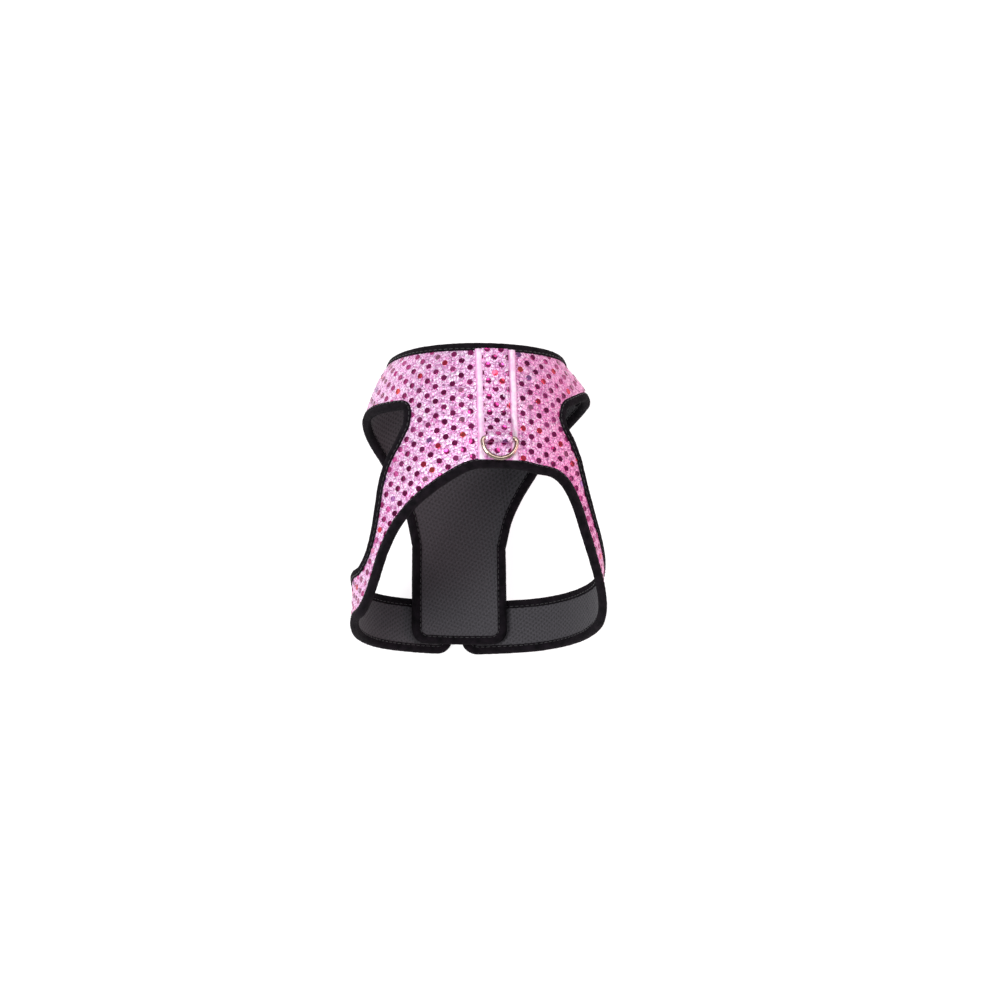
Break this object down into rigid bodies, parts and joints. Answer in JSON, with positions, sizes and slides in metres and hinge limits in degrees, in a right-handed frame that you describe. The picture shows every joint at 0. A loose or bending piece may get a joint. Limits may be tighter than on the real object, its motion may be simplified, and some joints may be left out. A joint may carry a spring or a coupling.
{
  "type": "dog vest harness",
  "caption": "Soft sequin vest harness for a small dog, worn shape: back and chest panels, bound edges, hook-and-loop belly wings and a leash ring on the back.",
  "frame": {"origin": "on the wearer's torso axis, level with the neck edge of the back panel", "axes": "+Y along the torso axis towards the wearer's head, +Z towards the wearer's back, +X towards the wearer's right"},
  "size_m": [0.1314, 0.1473, 0.1373],
  "materials": {
    "sequin_fabric": "pink metallic knit with plum sequins",
    "mesh_lining": "black air mesh",
    "binding_tape": "matt black knitted tape",
    "webbing": "pale woven tape",
    "hook_and_loop": "matt black hook-and-loop",
    "thread": "polyester thread",
    "ring_metal": "nickel plate",
    "label_satin": "blank satin"
  },
  "bodies": {
    "vest": {"back_panel_shell": "sequin_fabric", "back_panel_lining": "mesh_lining", "chest_panel_shell": "sequin_fabric", "chest_panel_lining": "mesh_lining", "neck_binding": "binding_tape", "hem_binding": "binding_tape", "chest_tab_binding": "binding_tape", "left_armhole_binding": "binding_tape", "right_armhole_binding": "binding_tape", "left_shoulder_tape": "binding_tape", "right_shoulder_tape": "binding_tape", "loop_patch": "hook_and_loop", "back_webbing": "webbing", "strap_cover": "sequin_fabric", "lower_strap_cover": "sequin_fabric", "ring_bartack": "thread", "hem_bartack": "thread", "care_label": "label_satin"},
    "left_wing": {"left_wing_shell": "sequin_fabric", "left_wing_lining": "mesh_lining", "left_wing_binding": "binding_tape", "left_hook_patch": "hook_and_loop"},
    "right_wing": {"right_wing_shell": "sequin_fabric", "right_wing_lining": "mesh_lining", "right_wing_binding": "binding_tape", "right_hook_patch": "hook_and_loop"},
    "leash_ring": {"d_ring": "ring_metal"}
  },
  "joints": [
    {"name": "ring_swing", "type": "hinge", "parent": "vest", "child": "leash_ring", "pos_m": [0, -0.04987, 0.06409], "axis": [-1, 0, 0], "range_deg": [0, 165]},
    {"name": "left_wing_open", "type": "hinge", "parent": "vest", "child": "left_wing", "pos_m": [-0.066, -0.1185, 0], "axis": [0, 1, 0], "range_deg": [0, 80]},
    {"name": "right_wing_open", "type": "hinge", "parent": "vest", "child": "right_wing", "pos_m": [0.066, -0.1185, 0], "axis": [0, -1, 0], "range_deg": [0, 80]}
  ]
}
